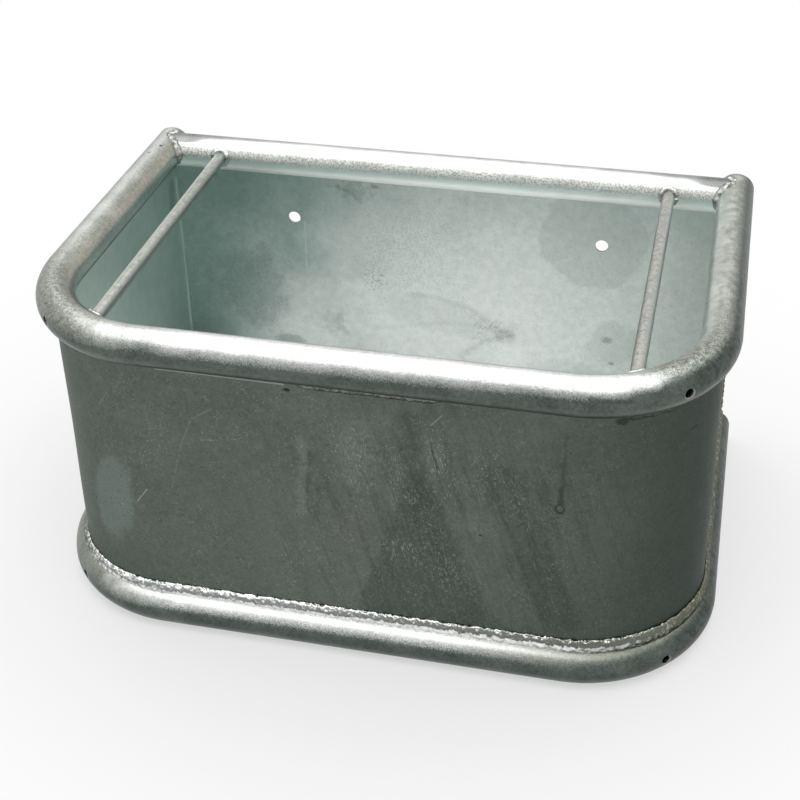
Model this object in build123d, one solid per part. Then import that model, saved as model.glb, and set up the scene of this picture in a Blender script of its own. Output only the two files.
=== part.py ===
"""Feed trough of welded galvanised steel: two pipe rims, a wrapped sheet wall, a back and two cross bars.

Millimetres. +Z is up, the front faces -Y, and the origin is the middle of the footprint on the floor.
"""
from build123d import *
import math
import os

# Outside size
overall_width = 604.0
overall_depth = 392.0
overall_height = 308.0

# Pipe of both rims and of the rear rail
pipe_diameter = 33.7
pipe_wall = 2.6
bend_radius = 108.0  # to the middle of the pipe
vent_diameter = 8.0
vent_angle = 45.0  # round the bend, from the front
end_plate_thickness = 3.0
end_plate_rounding = 2.0
rail_tip_trim = 2.0  # taken off the rear rail's thin coped tips

# Sheet of the body
sheet_thickness = 2.0
wall_front_stand_out = 1.0  # wall's outer face outside the middle of the pipe, at the front
wall_side_stand_out = 5.0  # and at the sides

# Bolt holes in the back plate
bolt_hole_diameter = 13.0
bolt_hole_spacing = 320.0
bolt_hole_drop = 75.0  # below the middle of the top rim

# Cross bars
bar_diameter = 12.0
bar_inset = 61.5  # from the middle of the rim's leg
bar_lift = 2.5  # above the middle of the top rim

# Welds
rim_weld = 5.0
stitch_weld = 5.5
front_stitch_middle = 17.0
front_stitch_length = 126.0
bend_stitch_start = 18.0  # degrees round the right bend, from the front
bend_stitch_end = 72.0
side_stitch_middle = 60.0
side_stitch_length = 90.0
corner_weld = 3.6
corner_weld_sink = 1.6  # how far the bead lies in at the top of the pipes
corner_weld_low = -38.0  # degrees up round the rear rail, from its front
corner_weld_back = 48.0  # degrees up round the rear rail, from its back
corner_weld_top = 90.0
bar_weld = 3.5
seam_weld = 2.6
floor_weld = 4.0
back_weld_drop = 3.0  # top of the back weld below the middle of the rear rail

# Places that follow from the sizes above
pipe_radius = pipe_diameter / 2
pipe_bore_radius = pipe_radius - pipe_wall
rim_half_width = overall_width / 2 - pipe_radius
rear_face = overall_depth / 2
front_line = pipe_radius - overall_depth / 2
rear_line = rear_face - pipe_radius
top_line = overall_height - pipe_radius
bottom_line = pipe_radius
pipe_end = rear_face - end_plate_thickness
back_inner_face = rear_face - sheet_thickness
wall_half_width = rim_half_width + wall_side_stand_out
wall_front = front_line - wall_front_stand_out
wall_bend_radius = bend_radius + wall_side_stand_out
wall_bend_y = wall_front + wall_bend_radius
floor_underside = bottom_line + pipe_radius
floor_top = floor_underside + sheet_thickness
bend_middle_x = rim_half_width - bend_radius
bend_middle_y = front_line + bend_radius
bar_radius = bar_diameter / 2
bar_place = rim_half_width - bar_inset
bar_height = top_line + bar_lift
bar_front = bend_middle_y - math.sqrt(bend_radius**2 - max(bar_place - bend_middle_x, 0) ** 2)
up = Vector(0, 0, 1)


def pipe_surface(offset):
    """Height of a pipe's surface above its middle, at a distance to the side."""
    return math.sqrt(pipe_radius**2 - offset**2)


wall_foot = bottom_line + pipe_surface(wall_front_stand_out)
wall_head = top_line - pipe_surface(wall_front_stand_out)
back_head = top_line - pipe_surface(pipe_radius - sheet_thickness)


def u_path(half, front, radius, height, end):
    """U-shaped line round the trough, from the left rear to the right rear."""
    corners = [(-half, end, height), (-half, front, height), (half, front, height), (half, end, height)]
    return FilletPolyline(*corners, radius=radius)


def wall_path(height, inset=0.0):
    """U-shaped line along the wall's outer face, or at a distance inside it."""
    radius = wall_bend_radius - inset
    return u_path(wall_half_width - inset, wall_front + inset, radius, height, back_inner_face)


def section_plane(point, outward):
    """Plane for a section: its x points away from the trough, its y points up."""
    return Plane(origin=point, x_dir=outward, z_dir=outward.cross(up))


def carried(profile, path, outward):
    """Profile swept along a path that it starts across."""
    return sweep(section_plane(path @ 0, outward) * profile, path=path)


def along_wall(profile, height):
    """Profile swept along the whole wall; its x is 0 on the wall's outer face."""
    return carried(profile, wall_path(height), Vector(-1, 0, 0))


def rim_bar(height, end, radius):
    """Solid round bar bent like a rim."""
    path = u_path(rim_half_width, front_line, bend_radius, height, end)
    return carried(Circle(radius), path, Vector(-1, 0, 0))


def rail_bar(half_length, radius):
    """Round bar along the rear rail."""
    return Pos(0, rear_line, top_line) * Rot(0, 90, 0) * Cylinder(radius, 2 * half_length)


def right_leg_bar():
    """Round bar along the rear end of the top rim's right leg."""
    bar = Rot(90, 0, 0) * Cylinder(pipe_radius, 2 * pipe_diameter)
    return Pos(rim_half_width, rear_line, top_line) * bar


def vent_drill():
    """Drill along X that goes through one side of a pipe."""
    return Rot(0, 90, 0) * Cylinder(vent_diameter / 2, pipe_diameter)


def rim_pipe(height):
    """U-shaped pipe with a vent hole on the outside of each bend."""
    pipe = rim_bar(height, pipe_end, pipe_radius) - rim_bar(height, pipe_end, pipe_bore_radius)
    for side in (-1, 1):
        bend = Pos(side * bend_middle_x, bend_middle_y, height)
        turn = vent_angle - 90 if side > 0 else -90 - vent_angle
        outside = Pos(bend_radius + pipe_radius, 0, 0)
        pipe -= bend * Rot(0, 0, turn) * outside * vent_drill()
    return pipe


def top_rim_pipe():
    """Top rim, with a hidden vent into each end of the rear rail."""
    pipe = rim_pipe(top_line)
    for side in (-1, 1):
        inner_side = Pos(side * (rim_half_width - pipe_radius), rear_line, top_line)
        pipe -= inner_side * vent_drill()
    return pipe


def end_plate(side, height):
    """Round plate that closes one leg of a rim pipe."""
    plate = Cylinder(pipe_radius, end_plate_thickness)
    plate = fillet(plate.edges().group_by(Axis.Z)[-1], end_plate_rounding)
    middle = rear_face - end_plate_thickness / 2
    return Pos(side * rim_half_width, middle, height) * Rot(-90, 0, 0) * plate


def rear_rail():
    """Straight pipe between the legs of the top rim, its ends coped to them."""
    half_length = rim_half_width - rail_tip_trim
    rail = rail_bar(half_length, pipe_radius) - rail_bar(half_length, pipe_bore_radius)
    return rail - top_rim_space


def wall():
    """Sheet round left side, front and right side, its edges coped to the two rims."""
    sheet = Pos(-sheet_thickness / 2, 0) * Rectangle(sheet_thickness, top_line - bottom_line)
    return along_wall(sheet, (top_line + bottom_line) / 2) - top_rim_space - bottom_rim_space


def back_plate():
    """Flat back, cut out round the rim's legs, with two bolt holes."""
    middle = (0, rear_face - sheet_thickness / 2, (floor_underside + back_head) / 2)
    plate = Pos(middle) * Box(2 * wall_half_width, sheet_thickness, back_head - floor_underside)
    drill = Rot(90, 0, 0) * Cylinder(bolt_hole_diameter / 2, 3 * sheet_thickness)
    for side in (-1, 1):
        place = (side * bolt_hole_spacing / 2, rear_face - sheet_thickness / 2, top_line - bolt_hole_drop)
        plate -= Pos(place) * drill
    return plate - top_rim_space


def floor_plate():
    """Flat floor inside the wall, resting on the bottom rim."""
    edge = wall_path(floor_underside, sheet_thickness)
    rear_edge = Line(edge @ 1, edge @ 0)
    return extrude(make_face([edge, rear_edge]), sheet_thickness, dir=up)


def cross_bar(side):
    """Round bar from the front of the top rim to the rear rail."""
    middle = (side * bar_place, (bar_front + rear_line) / 2, bar_height)
    bar = Pos(middle) * Rot(90, 0, 0) * Cylinder(bar_radius, rear_line - bar_front)
    return bar - top_rim_space - rail_bar(rim_half_width, pipe_radius)


def cross_bar_welds(side):
    """Collar of weld at each end of a cross bar, as thick as it is wide."""
    collar = Rot(90, 0, 0) * Cylinder(bar_radius + bar_weld, 2 * pipe_diameter)
    front = Pos(side * bar_place, bar_front + pipe_diameter, bar_height) * collar
    front &= rim_bar(top_line, rear_face, pipe_radius + bar_weld)
    rear = Pos(side * bar_place, rear_line - pipe_diameter, bar_height) * collar
    rear &= rail_bar(rim_half_width, pipe_radius + bar_weld)
    pipes = top_rim_space + rail_bar(rim_half_width, pipe_radius)
    return Compound(children=[(weld - pipes - cross_bar(side)).solid() for weld in (front, rear)])


def bead_profile(size):
    """Half of a round bead, outside the wall's face."""
    return Circle(size) & (Pos(size, 0) * Rectangle(2 * size, 2 * size))


def rim_fillet_weld():
    """Weld all along the foot of the wall."""
    return along_wall(bead_profile(rim_weld), wall_foot) - bottom_rim_space


def stitch(path, outward):
    """Short weld under the top rim, along one stretch of the wall's head."""
    return carried(bead_profile(stitch_weld), path, outward) - top_rim_space


def stitch_welds():
    """Short welds under the top rim: front, right bend and both sides."""
    front_start = (front_stitch_middle - front_stitch_length / 2, wall_front, wall_head)
    front_end = (front_stitch_middle + front_stitch_length / 2, wall_front, wall_head)
    stitches = [stitch(Line(front_start, front_end), Vector(0, -1, 0))]
    turn = math.radians(bend_stitch_start)
    bend = CenterArc(
        (bend_middle_x, wall_bend_y, wall_head),
        wall_bend_radius,
        bend_stitch_start - 90,
        bend_stitch_end - bend_stitch_start,
    )
    stitches.append(stitch(bend, Vector(math.sin(turn), -math.cos(turn), 0)))
    for side in (-1, 1):
        start = (side * wall_half_width, side_stitch_middle - side_stitch_length / 2, wall_head)
        end = (side * wall_half_width, side_stitch_middle + side_stitch_length / 2, wall_head)
        stitches.append(stitch(Line(start, end), Vector(side, 0, 0)))
    return Compound(children=[piece.solid() for piece in stitches])


def right_corner_weld():
    """Bead in the saddle between the rear rail and the top rim's right leg, front and back of the rail."""
    crossing = Vector(rim_half_width, rear_line, top_line)
    crest = pipe_radius - corner_weld_sink
    weld = Pos(crossing + up * crest) * Sphere(corner_weld)
    for facing, low in ((-1, corner_weld_low), (1, corner_weld_back)):
        away = Vector(-1, facing, 0)
        mitre = Plane(origin=crossing, x_dir=away, z_dir=away.cross(up))
        saddle = mitre * EllipticalCenterArc(
            (0, 0), math.sqrt(2) * pipe_radius, crest, start_angle=low, arc_size=corner_weld_top - low
        )
        weld += sweep(Plane(origin=saddle @ 0, z_dir=saddle % 0) * Circle(corner_weld), path=saddle)
        weld += Pos(saddle @ 0) * Sphere(corner_weld)
    return weld - right_leg_bar() - rail_bar(rim_half_width, pipe_radius)


def right_seam_weld():
    """Upright weld where the wall's right side meets the back plate."""
    middle = (wall_half_width, back_inner_face, (back_head + floor_underside) / 2)
    bead = Pos(middle) * Cylinder(seam_weld, back_head - floor_underside)
    outside = Pos(wall_half_width + seam_weld, back_inner_face, top_line / 2)
    bead &= outside * Box(2 * seam_weld, 2 * sheet_thickness, overall_height)
    return bead - top_rim_space - bottom_rim_space - rim_fillet_weld()


def back_weld():
    """Weld between the head of the back plate and the rear rail."""
    half = rim_half_width - pipe_radius
    low, high = back_head, top_line - back_weld_drop
    middle = (0, rear_face - sheet_thickness / 2, (low + high) / 2)
    strip = Pos(middle) * Box(2 * half, sheet_thickness, high - low)
    return strip - rail_bar(rim_half_width, pipe_radius) - top_rim_space


def floor_seam_weld():
    """Fillet round the inside edge of the floor."""
    corners = [(0, 0), (-floor_weld, 0), (0, floor_weld)]
    section = make_face(Polyline(*corners, close=True))
    round_wall = along_wall(Pos(-sheet_thickness, 0) * section, floor_top)
    half = wall_half_width - sheet_thickness
    back_corner = section_plane((-half, back_inner_face, floor_top), Vector(0, 1, 0))
    along_back = extrude(back_corner * section, 2 * half, dir=(1, 0, 0))
    return round_wall + along_back


def save(name, shape):
    export_step(shape, f"parts/{name}.step")


os.makedirs("parts", exist_ok=True)
top_rim_space = rim_bar(top_line, rear_face, pipe_radius)
bottom_rim_space = rim_bar(bottom_line, rear_face, pipe_radius)

save("top_rim_pipe", top_rim_pipe())
save("bottom_rim_pipe", rim_pipe(bottom_line))
save("rear_rail", rear_rail())
save("wall_sheet", wall())
save("back_plate", back_plate())
save("floor_plate", floor_plate())
save("bottom_rim_weld", rim_fillet_weld())
save("top_rim_stitch_welds", stitch_welds())
save("floor_seam_weld", floor_seam_weld())
save("back_plate_top_weld", back_weld())
for side_name, side in (("left", -1), ("right", 1)):
    save(f"{side_name}_cross_bar", cross_bar(side))
    save(f"{side_name}_cross_bar_welds", cross_bar_welds(side))
    save(f"top_{side_name}_end_plate", end_plate(side, top_line))
    save(f"bottom_{side_name}_end_plate", end_plate(side, bottom_line))
save("right_rear_corner_weld", right_corner_weld())
save("left_rear_corner_weld", mirror(right_corner_weld(), about=Plane.YZ))
save("right_back_seam_weld", right_seam_weld())
save("left_back_seam_weld", mirror(right_seam_weld(), about=Plane.YZ))
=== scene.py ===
"""Looks of a hot-dip galvanised feed trough: pipes, sheets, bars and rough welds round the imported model.

Metres. +Z is up and the front faces -Y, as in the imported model.
"""
import math

import bpy
from mathutils import Matrix, Vector


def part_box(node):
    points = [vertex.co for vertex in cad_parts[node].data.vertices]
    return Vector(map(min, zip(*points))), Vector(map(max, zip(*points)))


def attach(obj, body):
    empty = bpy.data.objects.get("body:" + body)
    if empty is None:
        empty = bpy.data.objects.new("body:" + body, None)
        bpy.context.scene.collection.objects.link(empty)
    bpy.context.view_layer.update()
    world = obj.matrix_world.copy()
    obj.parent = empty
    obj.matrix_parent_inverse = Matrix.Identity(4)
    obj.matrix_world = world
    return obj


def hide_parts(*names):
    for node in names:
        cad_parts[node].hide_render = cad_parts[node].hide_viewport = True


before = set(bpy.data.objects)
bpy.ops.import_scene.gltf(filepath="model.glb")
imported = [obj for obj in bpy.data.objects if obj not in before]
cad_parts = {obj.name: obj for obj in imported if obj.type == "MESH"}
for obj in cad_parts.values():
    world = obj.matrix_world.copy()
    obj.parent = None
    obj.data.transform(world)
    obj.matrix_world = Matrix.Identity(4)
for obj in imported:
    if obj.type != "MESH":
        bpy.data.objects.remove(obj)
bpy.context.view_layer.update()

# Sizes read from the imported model
top_low, top_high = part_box("top_rim_pipe")
bottom_low, bottom_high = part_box("bottom_rim_pipe")
wall_low, wall_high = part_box("wall_sheet")
plate_low, plate_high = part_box("back_plate")
floor_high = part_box("floor_plate")[1]
rail_low, rail_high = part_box("rear_rail")
bar_low, bar_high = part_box("right_cross_bar")

PIPE_RADIUS = (top_high.z - top_low.z) / 2
TOP_LINE = (top_high.z + top_low.z) / 2
BOTTOM_LINE = (bottom_high.z + bottom_low.z) / 2
RIM_HALF_WIDTH = top_high.x - PIPE_RADIUS
FRONT_LINE = top_low.y + PIPE_RADIUS
REAR_LINE = (rail_low.y + rail_high.y) / 2
PIPE_END = top_high.y
REAR_FACE = plate_high.y
SHEET = plate_high.y - plate_low.y
BACK_INNER_FACE = plate_low.y
BACK_HEAD = plate_high.z
WALL_HALF_WIDTH = wall_high.x
WALL_FRONT = wall_low.y
FLOOR_TOP = floor_high.z
BAR_PLACE = (bar_low.x + bar_high.x) / 2
BAR_HEIGHT = (bar_low.z + bar_high.z) / 2
BAR_RADIUS = (bar_high.x - bar_low.x) / 2

# Sizes that no box tells, with angles in degrees
PIPE_WALL = 0.0026
RAIL_SHORT = 0.4  # how far the rear pipe's ends stop short of the middle of the legs, in pipe radii
BAR_SINK = 0.004
BOLT_PLACE = 0.16
BOLT_HEIGHT = TOP_LINE - 0.075
BEND_RADIUS = 0.108
VENT_RADIUS = 0.004
VENT_RIM = 0.0006
WALL_WAVES = (  # height, radians per metre along and upwards, radians at the start
    (0.0004, 17, 21, 0),
    (0.0003, 41, -13, 1),
)
STITCH_MIDDLE = 0.017
STITCH_LENGTH = 0.126
BEND_STITCH = (18, 72)
SIDE_STITCH_MIDDLE = 0.06
SIDE_STITCH_LENGTH = 0.09
FOOT_BEAD_OUT = 0.0004
FOOT_BEAD_RISES = (  # place along the wall from the middle of the front, height over the wall's foot
    (-0.36, -0.003),
    (-0.26, -0.002),
    (-0.19, 0.0006),
    (0.02, 0.0014),
    (0.16, 0.0022),
    (0.24, 0.0036),
    (0.31, 0.003),
    (0.38, -0.003),
)
CORNER_SINK = 0.0016
CORNER_LOW = -38
CORNER_BACK = 48
BACK_BEAD_IN = 0.0019
BACK_BEAD_UP = 0.0024
SEAM_BEAD_OUT = 0.0008
SEAM_BEAD_IN = 0.0006
COLLAR_OUT = 0.001
CALM_FROM = 0.262  # how far to the side a bead starts to calm down
CALM_TO = 0.285

WALL_RADIUS = BEND_RADIUS + WALL_HALF_WIDTH - RIM_HALF_WIDTH
BEND_MIDDLE = Vector((RIM_HALF_WIDTH - BEND_RADIUS, FRONT_LINE + BEND_RADIUS))
WALL_RISE = math.sqrt(PIPE_RADIUS**2 - (FRONT_LINE - WALL_FRONT) ** 2)
WALL_FOOT = BOTTOM_LINE + WALL_RISE
WALL_HEAD = TOP_LINE - WALL_RISE
UP, BACK, LEFT, RIGHT = (0, 0, 1), (0, 1, 0), (-1, 0, 0), (1, 0, 0)


class Tree:
    """Adds nodes to one node tree and joins them."""

    def __init__(self, tree):
        self.tree = tree

    def add(self, kind, inputs=None, output=0, **settings):
        node = self.tree.nodes.new(kind)
        for name, value in settings.items():
            setattr(node, name, value)
        for key, value in (inputs or {}).items():
            for one in value if isinstance(value, list) else [value]:
                if isinstance(one, bpy.types.NodeSocket):
                    self.tree.links.new(one, node.inputs[key])
                else:
                    node.inputs[key].default_value = one
        return node.outputs[output] if node.outputs else None

    def maths(self, operation, a, b=0.0):
        return self.add("ShaderNodeMath", {0: a, 1: b}, operation=operation)

    def vector(self, operation, a, b=(0, 0, 0), output=0):
        return self.add("ShaderNodeVectorMath", {0: a, 1: b}, output, operation=operation)

    def scaled(self, vector, factor):
        return self.add("ShaderNodeVectorMath", {0: vector, "Scale": factor}, operation="SCALE")

    def weighed(self, *pairs):
        """Sum of values, each times its weight."""
        total = None
        for value, weight in pairs:
            part = self.maths("MULTIPLY", value, weight)
            total = part if total is None else self.maths("ADD", total, part)
        return total

    def noise(self, at, scale, detail=2.0, roughness=0.5):
        inputs = {"Vector": at, "Scale": scale, "Detail": detail, "Roughness": roughness}
        return self.add("ShaderNodeTexNoise", inputs)

    def spread(self, value, low, high, to_low=0.0, to_high=1.0, soft=False):
        """Value from low to high, taken to another range and held at its ends."""
        inputs = {"Value": value, "From Min": low, "From Max": high, "To Min": to_low, "To Max": to_high}
        return self.add("ShaderNodeMapRange", inputs, interpolation_type="SMOOTHSTEP" if soft else "LINEAR")


class Finish(Tree):
    """A metal finish, a node material that reads the object's own coordinates.

    A place on an upright sheet has two numbers, along and up. Along is from left to right, or from front to
    back on a sheet that stands sideways.
    """

    def __init__(self, name, sideways=False):
        self.sideways = sideways
        self.material = bpy.data.materials.new(name)
        self.material.use_nodes = True
        super().__init__(self.material.node_tree)
        self.tree.nodes.clear()
        self.place = self.add("ShaderNodeTexCoord", output="Object")
        self.face = self.vector("MULTIPLY", self.place, self.in_space((1, 1)))
        self.x, self.y, self.z = self.add("ShaderNodeSeparateXYZ", {0: self.place}).node.outputs

    def in_space(self, place, across=0):
        """Place on the sheet as a place in the object."""
        along, up = place
        return (across, along, up) if self.sideways else (along, across, up)

    def speckle(self, scale, detail=2.0, roughness=0.5):
        """Noise all over the object."""
        return self.noise(self.place, scale, detail, roughness)

    def layered(self, *layers):
        """Noises of several scales, details and roughnesses, and then their mix by weights."""
        noises = [self.speckle(*layer[:3]) for layer in layers]
        return *noises, self.weighed(*((noise, layer[3]) for noise, layer in zip(noises, layers)))

    def shaken(self, value, noise, reach, low=0.3, high=0.7):
        """Value moved up or down by a noise that goes from low to high."""
        return self.maths("ADD", value, self.spread(noise, low, high, -reach, reach))

    def blend(self, share, a, b):
        """Mix of two colours."""
        a, b = (one if isinstance(one, bpy.types.NodeSocket) else (*one, 1) for one in (a, b))
        return self.add("ShaderNodeMix", {0: share, 6: a, 7: b}, 2, data_type="RGBA")

    def blend_value(self, share, a, b):
        return self.add("ShaderNodeMix", {0: share, 2: a, 3: b})

    def facing(self, direction):
        """How far the surface faces a direction."""
        normal = self.add("ShaderNodeNewGeometry", output="Normal")
        return self.vector("DOT_PRODUCT", normal, direction, "Value")

    def streaks(self, lean, stretch, scale, detail=2):
        """Noise drawn out upwards, and leaning over."""
        along = self.maths("ADD", self.x, self.maths("MULTIPLY", self.z, lean))
        up = self.maths("MULTIPLY", self.z, stretch)
        at = self.add("ShaderNodeCombineXYZ", {0: along, 1: self.y, 2: up})
        return self.noise(at, scale, detail, 0.6)

    def faded(self, reach, edge, ragged, scale):
        """1 where a reach is under 1 and 0 beyond, with a soft and ragged edge."""
        if ragged:
            reach = self.shaken(reach, self.speckle(scale, 3, 0.6), ragged, 0.2, 0.8)
        return self.spread(reach, 1 + edge / 2, 1 - edge / 2, soft=True)

    def spot(self, centre, radii, edge=0.6, ragged=0.0, scale=60, turn=0.0):
        """Oval mark on the sheet, or one round a place in space; turn is in degrees."""
        at = self.place
        if len(centre) == 2:
            at, centre, radii = self.face, self.in_space(centre), self.in_space(radii, across=1)
        shifted = self.vector("SUBTRACT", at, centre)
        if turn:
            shifted = self.add("ShaderNodeMapping", {0: shifted, "Rotation": (0, math.radians(turn), 0)})
        local = self.vector("DIVIDE", shifted, radii)
        return self.faded(self.vector("LENGTH", local, output="Value"), edge, ragged, scale)

    def line(self, a, b, width, edge=1.0, ragged=0.0, scale=150):
        """Mark along a straight line between two places on the sheet; width is half across."""
        a, b = (Vector(self.in_space(end)) for end in (a, b))
        along = b - a
        shifted = self.vector("SUBTRACT", self.face, tuple(a))
        share = self.vector("DOT_PRODUCT", shifted, tuple(along / along.length_squared), "Value")
        nearest = self.vector("MULTIPLY", tuple(along), self.spread(share, 0, 1))
        reach = self.vector("DISTANCE", shifted, nearest, "Value")
        return self.faded(self.maths("DIVIDE", reach, width), edge, ragged, scale)

    def trail(self, places, width, **ways):
        """Mark along a line through several places on the sheet."""
        return self.any_of(self.line(a, b, width, **ways) for a, b in zip(places, places[1:]))

    def both(self, a, b):
        return self.maths("MULTIPLY", a, b)

    def any_of(self, masks):
        """Mask of all that at least one mask covers."""
        covered = 0.0
        for mask in masks:
            covered = self.maths("MAXIMUM", covered, mask)
        return covered

    def painted(self, colour, marks):
        """Colour with marks laid over it, each a mask, a share and a tone."""
        for mask, share, tone in marks:
            colour = self.blend(self.both(mask, share), colour, tone)
        return colour

    def bump(self, height, distance, strength):
        return self.add("ShaderNodeBump", {"Height": height, "Distance": distance, "Strength": strength})

    def metal(self, colour, roughness, normal, metallic, edge=1.0):
        """Ends the material; edge is the tint that the metal has where it is seen at a low angle."""
        inputs = {"Base Color": colour, "Roughness": roughness, "Normal": normal, "Metallic": metallic}
        inputs["Specular Tint"] = (edge, edge, edge, 1)
        return self.ended(self.add("ShaderNodeBsdfPrincipled", inputs))

    def ended(self, shader):
        self.add("ShaderNodeOutputMaterial", {"Surface": shader})
        return self.material


def rim_finish():
    """Silvery zinc with a fine grain, its light painted in: a painted highlight in front, greyer painted
    light on the legs, painted shade where it faces down.
    """
    f = Finish("galvanised_rim")
    grain, mottle, cloud, mixed = f.layered((950, 2, 0.6, 0.4), (260, 3, 0.6, 0.3), (42, 3, 0.5, 0.3))
    tone = f.spread(mixed, 0.38, 0.62)
    # Tones with the light painted in: a painted highlight along the front, greyer painted light on the
    # legs.
    front = f.blend(tone, (0.5, 0.515, 0.5), (0.76, 0.77, 0.75))
    left = f.blend(tone, (0.31, 0.325, 0.298), (0.6, 0.62, 0.58))
    # Painted highlight along the top of the left leg, and painted shade on its outer side.
    lean = f.facing(LEFT)
    crown_highlight = f.spread(f.maths("ABSOLUTE", f.maths("SUBTRACT", lean, 0.02)), 0.3, 0.12, 0, 0.24)
    left = f.blend(crown_highlight, left, (0.72, 0.73, 0.7))
    left = f.blend(f.spread(lean, 0.28, 0.66, 0, 0.8), left, (0.15, 0.15, 0.148))
    patch = f.speckle(130, 3, 0.65)
    right = f.blend(tone, (0.26, 0.27, 0.245), (0.5, 0.515, 0.475))
    right = f.blend(f.spread(patch, 0.52, 0.6, 0, 0.5), right, (0.17, 0.165, 0.14))
    right = f.blend(f.spread(patch, 0.45, 0.37, 0, 0.5), right, (0.6, 0.61, 0.57))
    # Painted shade on the bends, darker than the front and the legs.
    speckle = f.spread(f.weighed((grain, 0.6), (mottle, 0.4)), 0.4, 0.6)
    bend = f.blend(speckle, (0.09, 0.098, 0.08), (0.37, 0.382, 0.34))
    leg = f.blend(f.spread(f.x, -0.1, 0.1), left, right)
    leg = f.blend(f.both(f.spread(f.y, -0.03, -0.11), f.spread(f.x, -0.1, 0.1, 0.8, 1.0)), leg, bend)
    # Painted shade on the legs of the bottom rim, darker than on the top rim and darkest on the right.
    low_left = f.blend(tone, (0.15, 0.165, 0.14), (0.31, 0.33, 0.29))
    low_right_shade = f.blend(tone, (0.1, 0.105, 0.078), (0.205, 0.21, 0.16))
    low_leg_shade = f.blend(f.spread(f.x, -0.2, 0.16), low_left, low_right_shade)
    low = f.spread(f.z, 0.1, 0.05)
    # Where the painted highlight runs along the front, fading out towards the bends.
    drift = f.shaken(f.x, cloud, 0.02)
    from_left = f.spread(drift, -0.25, f.blend_value(low, -0.12, -0.17))
    from_right = f.blend_value(low, f.spread(drift, 0.252, 0.226), f.spread(drift, 0.24, 0.08))
    front_highlight_zone = f.both(f.spread(f.y, -0.148, -0.172), f.both(from_left, from_right))
    bright = f.blend(front_highlight_zone, f.blend(low, leg, low_leg_shade), front)
    up = f.facing(UP)
    # Painted grey shade along the top back edge of the front's highlight.
    edge = f.shaken(f.facing(BACK), grain, 0.1)
    bright = f.blend(f.both(front_highlight_zone, f.spread(edge, 0.2, 0.55, 0, 0.8)), bright, (0.26, 0.27, 0.25))
    # Painted shade where the rim faces down, away from the highlight, darker and mottled on its right side.
    deep = f.blend(tone, (0.053, 0.069, 0.06), (0.134, 0.153, 0.137))
    under = f.blend(tone, (0.095, 0.118, 0.106), (0.185, 0.205, 0.19))
    shaded_side = f.blend(f.spread(up, -0.15, -0.6), deep, under)
    shade = f.blend(f.spread(patch, 0.4, 0.6), (0.03, 0.038, 0.031), (0.075, 0.088, 0.076))
    shaded = f.blend_value(low, f.spread(f.y, -0.04, 0.06, 0.85, 0.45), 0.8)
    shaded_side = f.blend(f.both(f.spread(f.x, 0.26, 0.29), shaded), shaded_side, shade)
    # On the legs' inner sides: brown where they face up, below that a painted teal reflection of the
    # trough's inside, and a painted grey reflection in the right leg's lit tone.
    brown = f.blend(tone, (0.21, 0.205, 0.17), (0.42, 0.41, 0.36))
    inner_teal_reflection = f.blend(tone, (0.28, 0.34, 0.32), (0.48, 0.55, 0.52))
    inner_right_reflection = f.blend(tone, (0.33, 0.36, 0.34), (0.6, 0.63, 0.6))
    inner = f.both(f.spread(f.both(f.facing(RIGHT), f.x), -0.06, -0.2), f.spread(f.z, 0.2, 0.26))
    shaded_side = f.blend(inner, shaded_side, f.blend(f.spread(up, 0.5, 0.2), brown, inner_teal_reflection))
    # Painted shade in the corner under the left leg, along the wall.
    crease_shade = f.both(f.spread(up, -0.3, -0.45), f.spread(f.x, 0, -0.1))
    shaded_side = f.blend(f.both(inner, crease_shade), shaded_side, (0.07, 0.1, 0.09))
    bright = f.blend(f.both(inner, f.spread(f.x, 0, 0.1)), bright, inner_right_reflection)
    # The painted highlight band: how far a place faces up and forward decides between the painted shade and
    # the lit tones, crisper on the bottom rim.
    facing = f.shaken(f.facing((-0.65, 0, 1)), grain, 0.1)
    narrow = f.both(f.spread(f.x, 0.06, 0.15, 0, 0.14), f.spread(f.x, 0.215, 0.18))
    facing = f.maths("SUBTRACT", facing, f.blend_value(front_highlight_zone, 0.18, f.blend_value(low, narrow, 0.06)))
    crisp = f.both(front_highlight_zone, low)
    share = f.spread(facing, f.spread(crisp, 0, 1, 0.18, 0.3), f.spread(crisp, 0, 1, 0.8, 0.64))
    colour = f.blend(share, shaded_side, bright)
    # Painted highlight along the lower part of the right leg's inner side.
    lip_highlight = f.both(f.spread(up, 0.32, 0.1), f.spread(f.x, 0, 0.1))
    colour = f.blend(f.both(f.both(inner, lip_highlight), 0.6), colour, (0.86, 0.89, 0.87))
    plain = f.blend(tone, (0.26, 0.29, 0.27), (0.46, 0.49, 0.47))
    colour = f.blend(f.spread(f.facing(BACK), 0.8, 0.95), colour, plain)
    # Painted highlights on the rims of the four vents, set to their lower right.
    reach = (BEND_RADIUS + PIPE_RADIUS) * math.sqrt(0.5)
    ring, aside, drop = 0.0052, 0.0014, 0.0016
    vents = []
    for side in (-1, 1):
        for height in (TOP_LINE, BOTTOM_LINE):
            centre = (side * (BEND_MIDDLE.x + reach) + aside, BEND_MIDDLE.y - reach, height - drop)
            vents.append(f.spot(centre, (ring,) * 3, edge=0.4))
    colour = f.painted(colour, [
        # Painted highlights round the vents.
        (f.any_of(vents), 0.35, (0.46, 0.48, 0.45)),
        (f.line((0.193, 0.2988), (0.223, 0.296), 0.0014, ragged=0.8, scale=300), 0.5, (0.05, 0.055, 0.05)),
        (f.spot((-0.2813, 0.1505, 0.3075), (0.0016, 0.002, 0.002)), 0.85, (0.05, 0.05, 0.05)),
        (f.spot((-0.2871, 0.1328, 0.308), (0.0013, 0.0017, 0.002)), 0.8, (0.06, 0.06, 0.06)),
    ])
    roughness = f.spread(grain, 0.3, 0.7, 0.3, 0.44)
    return f.metal(colour, roughness, f.bump(mixed, 0.0006, 0.3), 1.0)


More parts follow.
